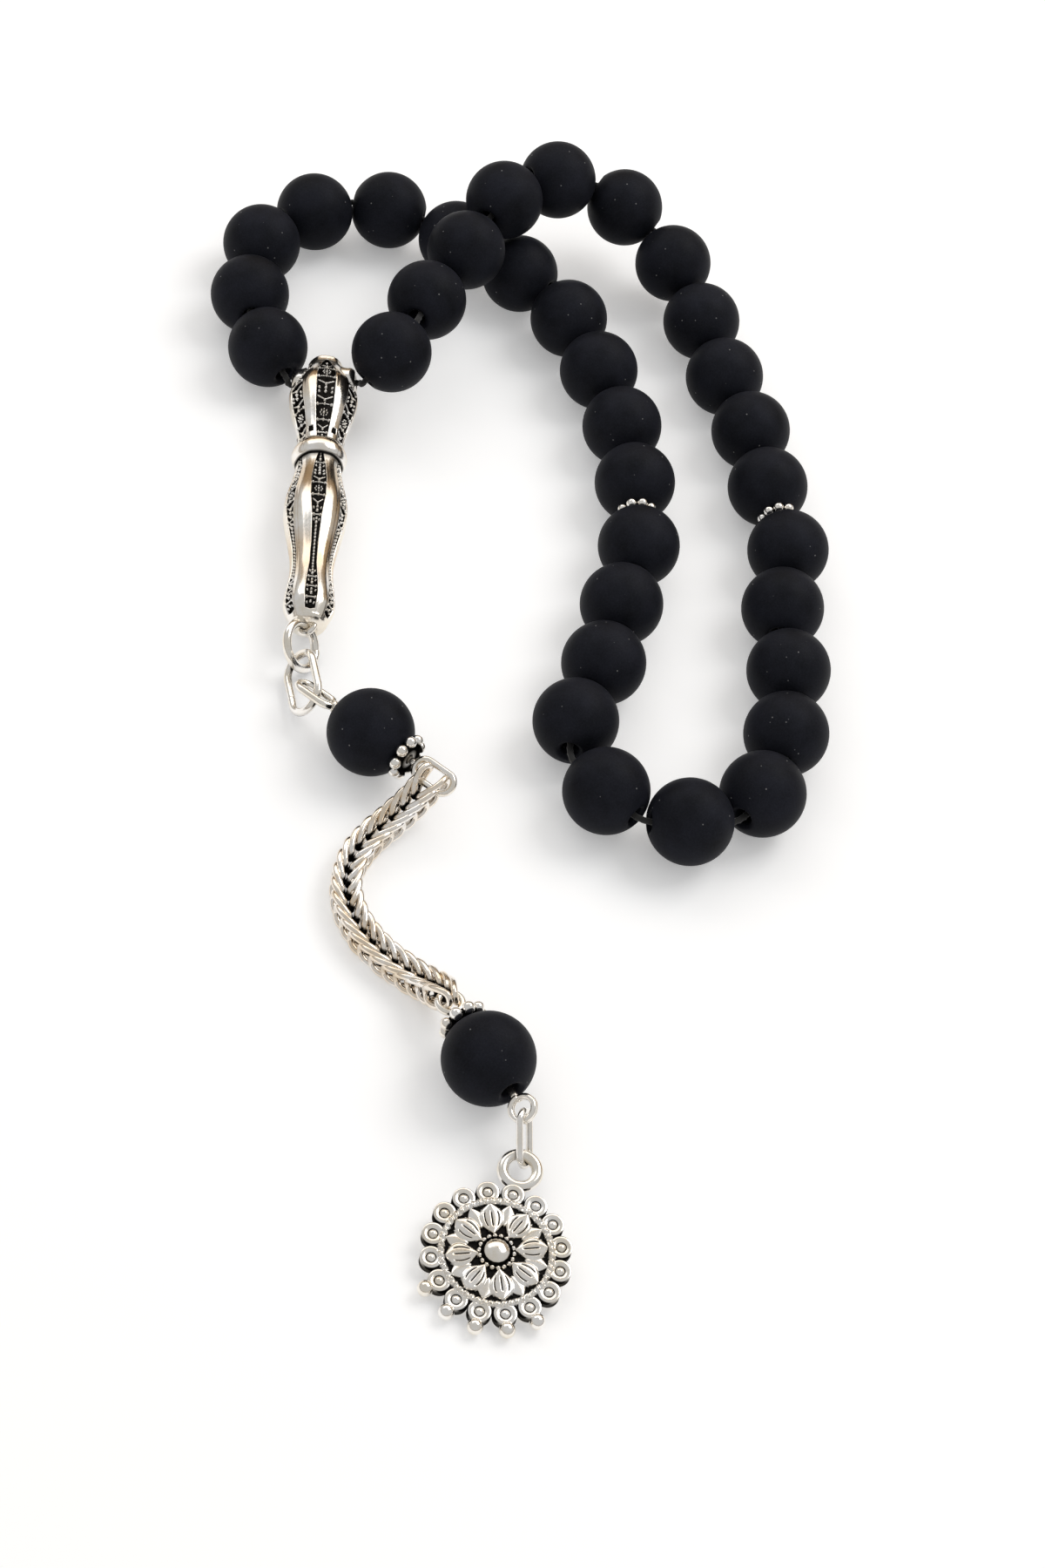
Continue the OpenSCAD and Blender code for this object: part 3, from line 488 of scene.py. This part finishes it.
def leader_piece():
    shape = Shape()
    around, rows = 432, 720
    x = np.r_[np.linspace(0.0005, TIP_LEN, 14), np.linspace(TIP_LEN, FOOT_TOP, rows)[1:],
              FOOT_TOP + 0.7 * np.sin(np.linspace(0.1, 1.57, 14))]
    r = outline(x)
    r[-14:] = r[-15] * np.cos(np.linspace(0.1, 1.565, 14)) ** 0.6
    angle = np.linspace(0, 2 * np.pi, around, endpoint=False)
    turn = (angle - np.pi / 2) * STRIPS / (2 * np.pi)
    off = turn - np.round(turn)
    which = np.round(turn).astype(int) % STRIPS
    step = 2 * np.pi * r / STRIPS
    across = off[None, :] * step[:, None]
    half = along(SUNK_HALF, x)
    edge = np.clip((half[:, None] - np.abs(across)) / 0.09, 0, 1)
    wall = edge * edge * (3 - 2 * edge)
    from_mid = np.abs(across) - step[:, None] / 2
    crown = 0.05 * np.clip(1 - from_mid ** 2 / 0.4, 0, 1)
    relief = np.zeros_like(wall)
    xs = x[:, None]
    columns = [np.where(which == k)[0] for k in range(STRIPS)]

    def dot(at, shift, strip, size=0.2, high=0.36):
        near = np.where(np.abs(x - at) < size)[0]
        if len(near):
            block = np.ix_(near, columns[strip])
            d2 = ((xs[near] - at) ** 2 + (across[block] - shift) ** 2) / size ** 2
            relief[block] = np.maximum(relief[block], high * np.clip(1 - d2, 0, 1) ** 0.45)

    def bar(at, shift, at2, shift2, strip, size=0.075):
        for t in np.linspace(0, 1, 12):
            dot(at + (at2 - at) * t, shift + (shift2 - shift) * t, strip, size, 0.24)

    def wide_row(kind, at, room, strip):
        if kind == 0:
            bar(at, -room, at, room, strip)
            for q in (-1, 0, 1):
                dot(at, q * room, strip, 0.17)
            return 0.75
        if kind == 1:
            bar(at, -room, at + 0.55, 0, strip)
            bar(at, room, at + 0.55, 0, strip)
            dot(at + 0.62, 0, strip, 0.19)
            return 1.15
        if kind == 2:
            for q in (-1, 0, 1):
                dot(at, q * room * 0.85, strip, 0.21 if q == 0 else 0.17)
            return 0.62
        for k in range(8):
            b = 2 * np.pi * k / 8
            dot(at + 0.45 + 0.45 * np.cos(b), 0.47 * np.sin(b), strip, 0.11, 0.28)
        dot(at + 0.45, 0, strip, 0.17)
        return 1.45

    for strip in range(STRIPS):
        at, k = 2.35, 0
        while at < 43.0:
            room = float(along(SUNK_HALF, at)) - DOT_MARGIN
            if room > 0.62:
                at += wide_row((2, 1, 0, 3, 0, 1, 2)[k % 7], at, room, strip)
            elif room > 0.34:
                if k % 3 == 0:
                    dot(at, 0, strip, 0.21)
                elif k % 3 == 1:
                    bar(at, -room, at, room, strip, 0.07)
                    for q in (-1, 1):
                        dot(at, q * room, strip, 0.17)
                else:
                    dot(at, 0, strip, 0.17)
                    for q in (-1, 1):
                        dot(at + 0.16, q * room * 0.9, strip, 0.14)
                at += 0.56
            elif room > 0.05:
                dot(at, 0, strip, 0.18)
                at += 0.5
            else:
                at += 0.2
            k += 1
    relief *= np.clip(wall * 1.2, 0, 1)
    # a small sunk square at the lower end of each polished strip of the head
    square = (np.abs(xs - SQUARE_AT) < SQUARE_LEN / 2) & (np.abs(from_mid) < SQUARE_W / 2)
    height = r[:, None] - 0.05 - wall * SUNK + np.minimum(relief, SUNK + 0.03) + crown * (1 - wall)
    height = height - SQUARE_DEPTH * square
    tone = np.clip(wall * 1.3 * (1 - relief / 0.13), 0, 1)
    # darker bands along the leader, painted shade below the collar among them
    stain = along(DARKENING, x)
    tone = np.maximum(np.maximum(tone, stain[:, None]), 0.75 * square)
    # painted tan reflection on the upward slopes of the polished strips
    painted_tan_reflection = along(TAN_REFLECTION, x)
    tone = tone - painted_tan_reflection[:, None] * (1 - wall) * np.clip(1 - 4 * tone, 0, 1)
    pts = np.stack([np.repeat(x[:, None], around, 1), height * np.cos(angle), height * np.sin(angle)], -1)
    shape.grid(leader(pts), tone=tone)
    # beaded cap on the tip, with painted shade where the balls meet it
    for i in range(6):
        a = 2 * np.pi * i / 6
        place = leader([0.05, 0.62 * np.cos(a), 0.62 * np.sin(a)])
        shape.ball(place, 0.3, 1, -leader.m[0], 14, tone=0.2, under=0.7)
    shape.ball(leader([-0.02, 0, 0]), 0.34, 1, -leader.m[0], 14, tone=0.1, under=0.7)
    # rounded collars at the cord's two holes, with painted shade inside the bore and at the collar's foot
    for side in (-1, 1):
        spot = Spot(leader_hole, side * hole_dir)
        a = np.linspace(0, np.pi / 2, 14)
        dome = [(2.9 + (HOLE_REACH - 2.9) * np.sin(t), HOLE_R + 0.1 + 1.05 * np.sqrt(np.cos(t) + 1e-9))
                for t in a]
        bore = [(HOLE_REACH - 0.1, HOLE_R), (1.4, HOLE_R), (1.3, 0.02)]
        tone = [0.5, 0.1] + [0] * 14 + [0.9, 1, 1]
        shape.lathe(spot, [(2.2, 2.1), (2.6, 2.0)] + dome + bore, 44, tone=tone)
    # the cast eye at the foot
    hole = np.array(JOINTS["foot_ring_swing"]["pos_m"]) / MM
    pierce = unit(JOINTS["foot_ring_swing"]["axis"])
    a = np.linspace(0, 2 * np.pi, 48, endpoint=False)
    sideways = np.cross(pierce, leader_dir)
    eye = hole + 0.98 * (np.cos(a)[:, None] * leader_dir + np.sin(a)[:, None] * sideways)
    shape.tube(eye, 0.33, 16, loop=True)
    shape.make("leader_casting", SILVER, "leader_and_cord", ["leader"], "silver")


leader_piece()


# Rings and pins of the tail
FOOT_RING_R, FOOT_RING_DROP, FOOT_RING_SLIT = 2.7, 15, 110
LINK_LEN, LINK_W, LINK_LIE = 8.2, 4.4, (-68, 3, 55)
HOOK_TURN, HOOK_INSET = 50, 2.5
PIN_WIRE, EYE_GAP, EYE_R = 0.8, 0.3, 1.3
LONG_EYE_LEN, CHAIN_EYE_LEN, LONG_EYE_W, PIN_1_ROLL = 5.0, 5.2, 2.4, 35
CAP_BALL_D, CAP_RING_R, SPACER_GAP = 1.4, 2.2, 0.1
PIN_2_ROLL = 40
LONG_EYE_LEAN = 28
# Half the thickness of the wires, and the painted shade on their undersides.
FOOT_RING_FAT, LINK_FAT, LONG_EYE_FAT, DOUBLE_EYE_FAT, CHARM_RING_FAT = 0.54, 0.48, 0.45, 0.33, 0.62
DOUBLE_EYE_PITCH = 0.32
WIRE_SHADE = 0.8
OVAL_LEN, OVAL_W, OVAL_WIRE, OVAL_ROLL = 5.6, 2.5, 0.75, -55


def at(name):
    return np.array(JOINTS[name]["pos_m"]) / MM


def stadium(length, width, start=0.0, gap=0.0, count=72):
    """Points round a long eye in the local XY plane, from x = 0 to length, open by a gap at the start."""
    r = width / 2
    straight = length - width
    total = 2 * straight + 2 * math.pi * r
    out = []
    for t in np.linspace(gap / 2, total - gap / 2, count, endpoint=gap > 0):
        u = (t + start) % total
        if u < straight:
            out.append((r + u, -r, 0))
        elif u < straight + math.pi * r:
            a = (u - straight) / r - math.pi / 2
            out.append((length - r + r * math.cos(a), r * math.sin(a), 0))
        elif u < 2 * straight + math.pi * r:
            out.append((length - r - (u - straight - math.pi * r), r, 0))
        else:
            a = (u - 2 * straight - math.pi * r) / r + math.pi / 2
            out.append((r + r * math.cos(a), r * math.sin(a), 0))
    return np.array(out)


def coil(x0, x1, radius, turns, count=90):
    a = np.linspace(0, 2 * math.pi * turns, count)
    return np.stack([np.linspace(x0, x1, count), radius * np.cos(a), radius * np.sin(a)], -1)


def across_roll(d, across):
    return math.degrees(math.atan2(np.dot(across, up_of(d)), np.dot(across, side_of(d))))


foot_hole = at("foot_ring_swing")
foot_axis = unit(JOINTS["foot_ring_swing"]["axis"])
drop = math.radians(FOOT_RING_DROP)
foot_dir = leader_dir * math.cos(drop) + np.cross(foot_axis, leader_dir) * math.sin(drop)
ring = Spot(foot_hole + FOOT_RING_R * foot_dir, foot_dir, across_roll(foot_dir, foot_axis))
slit = math.radians(FOOT_RING_SLIT)
a = np.linspace(slit + 0.05, slit + 2 * math.pi - 0.05, 84)
path = np.stack([FOOT_RING_R * np.cos(a), FOOT_RING_R * np.sin(a), np.linspace(-0.06, 0.06, 84)], -1)
shape = Shape().tube(ring(path), FOOT_RING_FAT, 22, under=WIRE_SHADE)
shape.make("foot_ring_wire", SILVER, "foot_ring", ["foot_ring"], "silver")

link_dir = toward(LINK_LIE[0], LINK_LIE[1])
link = Spot(at("link_ring_swing"), link_dir, LINK_LIE[2])
slit_at = 0.6 * LINK_LEN - LINK_W / 2
shape = Shape().tube(link(stadium(LINK_LEN, LINK_W, slit_at, 0.16, 90)), LINK_FAT, 20, under=WIRE_SHADE)
shape.make("link_ring_wire", SILVER, "link_ring", ["link_ring"], "silver")

cap_seat = math.sqrt((BEAD_R + CAP_BALL_D / 2 + SPACER_GAP) ** 2 - CAP_RING_R ** 2)
eye_base = cap_seat + CAP_BALL_D / 2 + EYE_GAP + PIN_WIRE / 2
plain_base = BEAD_R + EYE_GAP + PIN_WIRE / 2

pin_1_dir = unit(JOINTS["tail_bead_1_spin"]["axis"])
pin_1_hang = at("tail_pin_1_swing") - HOOK_INSET * pin_1_dir
turn = math.radians(HOOK_TURN)
hook_wire = link.m[1] * math.cos(turn) - link_dir * math.sin(turn)
eye_roll = across_roll(pin_1_dir, unit(np.cross(hook_wire, pin_1_dir)))
bead_x = np.linalg.norm(at("tail_bead_1_spin") - pin_1_hang)
shape = Shape()
shape.tube(Spot(pin_1_hang, pin_1_dir, eye_roll + LONG_EYE_LEAN)(stadium(LONG_EYE_LEN, LONG_EYE_W)),
           LONG_EYE_FAT, 18, loop=True, under=WIRE_SHADE)
straight = Spot(pin_1_hang, pin_1_dir)
shank = [(x, 0, 0) for x in np.linspace(LONG_EYE_LEN, bead_x + eye_base, 12)]
shape.tube(straight(shank), PIN_WIRE / 2 * 0.98, 18)
shape.tube(straight(coil(LONG_EYE_LEN + 0.1, LONG_EYE_LEN + 0.55, 0.52, 1.6)), 0.2, 10)
eye_2 = Spot(pin_1_hang + (bead_x + eye_base) * pin_1_dir, pin_1_dir, PIN_1_ROLL)
shape.tube(eye_2(stadium(CHAIN_EYE_LEN, LONG_EYE_W)), PIN_WIRE / 2, 18, loop=True, under=WIRE_SHADE)
shape.make("tail_pin_1_wire", SILVER, "tail_pin_1", ["tail_pin_1"], "silver")

pin_2_dir = unit(JOINTS["tail_bead_2_spin"]["axis"])
bead_2 = at("tail_bead_2_spin")
pin_2_hang = bead_2 - (2 * EYE_R + eye_base) * pin_2_dir
shape = Shape()
a = np.linspace(0, 2 * math.pi, 48, endpoint=False)
loop_2 = np.stack([EYE_R - EYE_R * np.cos(a), EYE_R * np.sin(a), 0 * a], -1)
pin_2 = Spot(pin_2_hang, pin_2_dir)
shape.tube(pin_2(loop_2), PIN_WIRE / 2, 18, loop=True, under=WIRE_SHADE)
shape.tube(pin_2([(x, 0, 0) for x in np.linspace(2 * EYE_R, 2 * EYE_R + eye_base + plain_base, 14)]),
           PIN_WIRE / 2 * 0.98, 18)
low = Spot(bead_2 + plain_base * pin_2_dir, pin_2_dir, PIN_2_ROLL)
a = np.linspace(0, 4 * math.pi, 120)
climb = np.linspace(-DOUBLE_EYE_PITCH, DOUBLE_EYE_PITCH, 120)
twice = np.stack([EYE_R - EYE_R * np.cos(a), EYE_R * np.sin(a), climb], -1)
shape.tube(low(twice), DOUBLE_EYE_FAT, 14, under=WIRE_SHADE)
shape.make("tail_pin_2_wire", SILVER, "tail_pin_2", ["tail_pin_2"], "silver")

charm_hang = at("charm_lift")
oval_hang = at("charm_ring_swing")
oval = Spot(oval_hang, charm_hang - oval_hang, OVAL_ROLL)
Shape().tube(oval(stadium(OVAL_LEN, OVAL_W, 1.4, 0.05, 80)), OVAL_WIRE / 2, 18, under=WIRE_SHADE).make(
    "charm_ring_wire", SILVER, "charm_ring", ["charm_ring"], "silver")


# Chain
CHAIN_GROUPS = 11
bends = [at(f"chain_{g:02d}_bend") for g in range(2, CHAIN_GROUPS + 1)]
first, last = at("chain_01_swing"), at("tail_pin_2_swing")
links = [first, bends[0] + (first - bends[0]) / 3]
for p, q in zip(bends, bends[1:]):
    links += [p + (q - p) * 0.25, p + (q - p) * 0.75]
links += [bends[-1] + (last - bends[-1]) / 3, last]
ARM_LEN, ARM_OUT, ARM_IN, ARM_HIGH, ARM_R = 3.8, 1.28, 0.34, 1.08, 0.37


def fox_link(shape, spot, dark):
    """Two long loops of wire whose arms meet in a V that points along the chain."""
    a = np.linspace(0, 2 * math.pi, 48, endpoint=False)
    t = (1 + np.cos(a)) / 2
    x = ARM_LEN * (t - 0.5)
    z = ARM_HIGH * np.sign(np.sin(a)) * np.abs(np.sin(a)) ** 0.7
    y = ARM_IN + ARM_OUT * np.cos(t * math.pi / 2) * (1 - 0.3 * (1 - t) ** 4)
    for side in (-1, 1):
        shape.tube(spot(np.stack([x, side * y, z], -1)), ARM_R, 14, loop=True)
        # painted shade on the wire near the middle of the chain, where the arms dive in
        near = np.linalg.norm(((shape.v[-1] - spot.p) @ spot.m.T)[:, 1:], axis=1)
        shape.t[-1] = np.clip((1.0 - near) / 0.3, 0, dark)


for g in range(CHAIN_GROUPS):
    shape = Shape()
    for i in (2 * g, 2 * g + 1):
        d = links[min(i + 1, len(links) - 1)] - links[max(i - 1, 0)]
        fox_link(shape, Spot(links[i], d), 0.7 if i < len(links) - 1 else 0.2)
    name = f"chain_{g + 1:02d}"
    shape.make(name + "_links", CHAIN_SILVER, name, [name], "chain_silver")


# Charm
CHARM_BEARING, CHARM_SLOPE = -93, -6
CHARM_RING_R, CHARM_WIRE = 1.8, 1.0
MEDAL_R, MEDAL_T, SCALLOPS, SCALLOP_D, DROP_D = 6.5, 1.1, 16, 2.5, 1.7
RELIEF, PETALS = 0.5, 8
charm_dir = toward(CHARM_BEARING, CHARM_SLOPE)
scallop_reach = MEDAL_R + SCALLOP_D / 2
medal_at = CHARM_RING_R + CHARM_WIRE / 4 + scallop_reach
drop_reach = medal_at + scallop_reach + DROP_D / 4
charm_z = DROP_D / 2 * (1 - math.cos(math.radians(CHARM_SLOPE))) - drop_reach * charm_dir[2]
plan = charm_hang + CHARM_RING_R * charm_dir
charm = Spot((plan[0], plan[1], charm_z), charm_dir)


def charm_piece():
    shape = Shape()
    around, rings = 576, 150
    a = np.linspace(0, 2 * np.pi, around, endpoint=False)
    step = 2 * np.pi / SCALLOPS
    off = a - np.round(a / step) * step
    inside = np.clip((SCALLOP_D / 2) ** 2 - (MEDAL_R * np.sin(off)) ** 2, 0, None)
    edge = MEDAL_R * np.cos(off) + np.sqrt(inside)
    t = np.linspace(0.002, 1, rings)
    r = t[:, None] * edge[None, :]
    rim_in, rim_out = 5.2, 5.95
    z = np.full_like(r, MEDAL_T - 0.12)
    tone = np.ones_like(r)

    def put(height, bright):
        on = height > z
        z[on] = height[on]
        tone[on] = np.broadcast_to(bright, z.shape)[on]

    x, y = r * np.cos(a), r * np.sin(a)
    # a domed scallop with a small dot in each
    outer = r > rim_out - 0.05
    q = np.sqrt((r * np.cos(off) - MEDAL_R - 0.12) ** 2 + (r * np.sin(off)) ** 2)
    put(np.where(outer & (q > 0.53), MEDAL_T + 0.2 * np.sqrt(np.clip(1 - ((q - 0.92) / 0.4) ** 2, 0, 1)), -1),
        np.clip(np.maximum((0.6 - q) * 12, (q - 1.1) * 9), 0, 1))
    put(np.where(outer, MEDAL_T - 0.1 + 0.42 * np.sqrt(np.clip(1 - (q / 0.5) ** 2, 0, 1)), -1),
        np.where(q < 0.46, 0.0, 1.0))
    # a roped rim
    mid, half = (rim_in + rim_out) / 2, (rim_out - rim_in) / 2
    rope = 0.75 + 0.25 * np.cos(52 * a[None, :] + (r - mid) * 5)
    body = np.sqrt(np.clip(1 - ((r - mid) / half) ** 2, 0, 1))
    put(np.where(body > 0, MEDAL_T + RELIEF * body * rope, -1), np.clip(1.2 - 2.4 * body * rope, 0, 1))

    def petal_row(turned, start, end, width, high, ribbed):
        pstep = 2 * np.pi / PETALS
        poff = a - (np.floor(a / pstep + turned) + 0.5 - turned) * pstep
        px, py = r * np.cos(poff), r * np.sin(poff)
        u = np.clip((px - start) / (end - start), 0, 1)
        wide = width * np.sin(np.pi * u ** 1.2) ** 0.7
        pillow = np.sqrt(np.clip(1 - (py / np.maximum(wide, 1e-3)) ** 2, 0, 1)) * (wide > 0.02)
        rib = np.exp(-(py / 0.08) ** 2) + np.exp(-((np.abs(py) - 0.52 * wide) / 0.07) ** 2)
        rib = rib * np.clip((end - 0.75 - px) * 4, 0, 1) * np.clip((px - start - 0.7) * 4, 0, 1) * ribbed
        put(np.where(pillow > 0, MEDAL_T - 0.1 + high * pillow ** 0.6 - 0.14 * rib, -1),
            np.clip(1.15 - 2.8 * pillow, 0, 1) + 0.8 * rib)

    # two rows of petals, the wide ones with ribs
    petal_row(0.5, 2.9, 5.25, 0.8, 0.42, 0.0)
    petal_row(0.0, 1.9, 5.2, 1.4, RELIEF + 0.12, 1.0)
    # the boss in a beaded ring
    bead_step = 2 * np.pi / 18
    boff = a - np.round(a / bead_step) * bead_step
    q = np.sqrt((r * np.cos(boff) - 1.75) ** 2 + (r * np.sin(boff)) ** 2)
    put(MEDAL_T + 0.5 * np.sqrt(np.clip(1 - (q / 0.3) ** 2, 0, 1)), np.where(q < 0.26, 0.0, 0.9))
    put(np.where(r < 1.36, MEDAL_T + 2 * RELIEF * np.sqrt(np.clip(1 - (r / 1.5) ** 2, 0, 1)), -1),
        np.where(r > 1.26, 0.8, 0.0))
    tone = np.clip(tone, 0, 1)
    centre = np.array([medal_at, 0, 0])
    top = np.stack([x, y, z], -1)
    wall = np.stack([np.stack([edge * np.cos(a), edge * np.sin(a), np.full_like(a, h)], -1)
                     for h in (MEDAL_T * 0.6, MEDAL_T * 0.3, 0.05)])
    back = np.stack([np.stack([f * edge * np.cos(a), f * edge * np.sin(a), np.full_like(a, h)], -1)
                     for f, h in ((0.985, 0.0), (0.9, 0.0), (0.86, 0.08), (0.5, 0.1), (0.002, 0.1))])
    pts = np.concatenate([top, wall, back])
    # painted shade on the medal's side wall
    tones = np.concatenate([tone, np.full((3, around), 0.6), np.full((5, around), 0.15)])
    shape.grid(charm(pts + centre), tone=tones)
    for i in range(5):
        b = (i - 2) * step
        out = np.array([np.cos(b), np.sin(b), 0])
        p = centre + (scallop_reach + DROP_D / 4) * out + np.array([0, 0, DROP_D / 2])
        axis = charm(p + out) - charm(p)
        shape.ball(charm(p), DROP_D / 2, 1, (0, 0, -1), 28)
        # each neck is darker at its ends: painted shade where it meets the medal and the drop
        neck = [(scallop_reach + x, r) for x, r in ((-0.35, 0.42), (-0.2, 0.62), (0, 0.66), (0.1, 0.5))]
        spot = Spot(charm(centre + np.array([0, 0, DROP_D / 2 - 0.1])), axis)
        shape.lathe(spot, neck, 24, tone=[0.3, 0, 0, 0.9])
    ring_a = np.linspace(0, 2 * np.pi, 64, endpoint=False)
    ring_z = np.full(64, CHARM_WIRE / 2)
    path = np.stack([CHARM_RING_R * np.cos(ring_a), CHARM_RING_R * np.sin(ring_a), ring_z], -1)
    shape.tube(charm(path), CHARM_RING_FAT, 24, loop=True, under=WIRE_SHADE)
    shape.make("charm_rosette", SILVER, "charm", ["charm"], "silver")


charm_piece()


# Floor and light
FLOOR_HALF, FLOOR_BELOW, FLOOR_GREY, FLOOR_LIFT = 12.0, 0.00002, 0.88, 0.29
WORLD_LEVEL = 0.55
WALL_TOWARD = (0.12, 0.95, 0.28)
KEY_AT, KEY_SIZE, KEY_POWER = (0.35, 0.3, 0.6), (0.4, 0.4), 1.7
PANEL_AT, PANEL_SIZE, PANEL_POWER = (-0.12, 0.52, 0.55), (1.2, 0.45), 2.0


def set_stage():
    """A white table, a white room with a tan wall, a lamp and a wide soft panel, in metres."""
    floor = bpy.data.meshes.new("floor")
    w, z = FLOOR_HALF, cad_box[0][2] - FLOOR_BELOW
    floor.from_pydata([(-w, -w, z), (w, -w, z), (w, w, z), (-w, w, z)], [], [(0, 1, 2, 3)])
    obj = bpy.data.objects.new("floor", floor)
    bpy.context.scene.collection.objects.link(obj)
    n = Nodes("white_table")
    path = n.add("LightPath")
    seen = n.add("Math", {0: path.outputs["Is Camera Ray"], 1: path.outputs["Is Glossy Ray"]},
                 operation="MAXIMUM")
    seen = n.add("Math", {0: seen.outputs[0], 1: path.outputs["Is Transmission Ray"]}, operation="MAXIMUM")
    lift = n.add("Math", {0: seen.outputs[0], 1: FLOOR_LIFT}, operation="MULTIPLY")
    matte = n.add("BsdfDiffuse", {"Color": (FLOOR_GREY, FLOOR_GREY, FLOOR_GREY, 1)})
    glow = n.add("Emission", {"Color": (1, 1, 1, 1), "Strength": lift.outputs[0]})
    both = n.add("AddShader", {0: matte.outputs[0], 1: glow.outputs[0]})
    floor.materials.append(n.done(both.outputs[0]))

    world = bpy.data.worlds.new("studio")
    bpy.context.scene.world = world
    world.use_nodes = True
    tree = world.node_tree
    tree.nodes.clear()
    out = tree.nodes.new("ShaderNodeOutputWorld")
    sky = tree.nodes.new("ShaderNodeBackground")
    coord = tree.nodes.new("ShaderNodeTexCoord")
    split = tree.nodes.new("ShaderNodeSeparateXYZ")
    facing = tree.nodes.new("ShaderNodeVectorMath")
    facing.operation = "DOT_PRODUCT"
    facing.inputs[1].default_value = WALL_TOWARD
    both = tree.nodes.new("ShaderNodeMix")
    both.data_type, both.blend_type = "RGBA", "MULTIPLY"
    both.inputs[0].default_value = 1.0

    def ramp(source, stops):
        node = tree.nodes.new("ShaderNodeValToRGB")
        while len(node.color_ramp.elements) < len(stops):
            node.color_ramp.elements.new(0.5)
        for e, (at, val) in zip(node.color_ramp.elements, stops):
            e.position, e.color = at, (*val, 1)
        tree.links.new(source, node.inputs["Fac"])
        return node.outputs["Color"]

    tree.links.new(coord.outputs["Generated"], split.inputs[0])
    tree.links.new(coord.outputs["Generated"], facing.inputs[0])
    wall = ramp(facing.outputs["Value"], [(0.0, (1, 1, 1)), (0.6, (1, 1, 1)), (0.74, (0.72, 0.57, 0.4)),
                                          (1.0, (0.6, 0.46, 0.31))])
    low = ramp(split.outputs["Z"], [(0.0, (0.75, 0.7, 0.64)), (0.1, (0.6, 0.51, 0.42)), (0.2, (1, 1, 1))])
    tree.links.new(wall, both.inputs[6])
    tree.links.new(low, both.inputs[7])
    tree.links.new(both.outputs[2], sky.inputs["Color"])
    sky.inputs["Strength"].default_value = WORLD_LEVEL
    tree.links.new(sky.outputs[0], out.inputs["Surface"])

    def lamp(name, at, target, size, power):
        data = bpy.data.lights.new(name, "AREA")
        data.shape, data.size, data.size_y = "RECTANGLE", size[0], size[1]
        data.energy = power
        obj = bpy.data.objects.new(name, data)
        bpy.context.scene.collection.objects.link(obj)
        obj.location = at
        obj.rotation_euler = (Vector(target) - Vector(at)).to_track_quat("-Z", "Y").to_euler()

    lamp("key", KEY_AT, (0, 0, 0), KEY_SIZE, KEY_POWER)
    lamp("panel", PANEL_AT, (0, 0, 0), PANEL_SIZE, PANEL_POWER)


set_stage()
bpy.context.scene.view_settings.view_transform = "Standard"
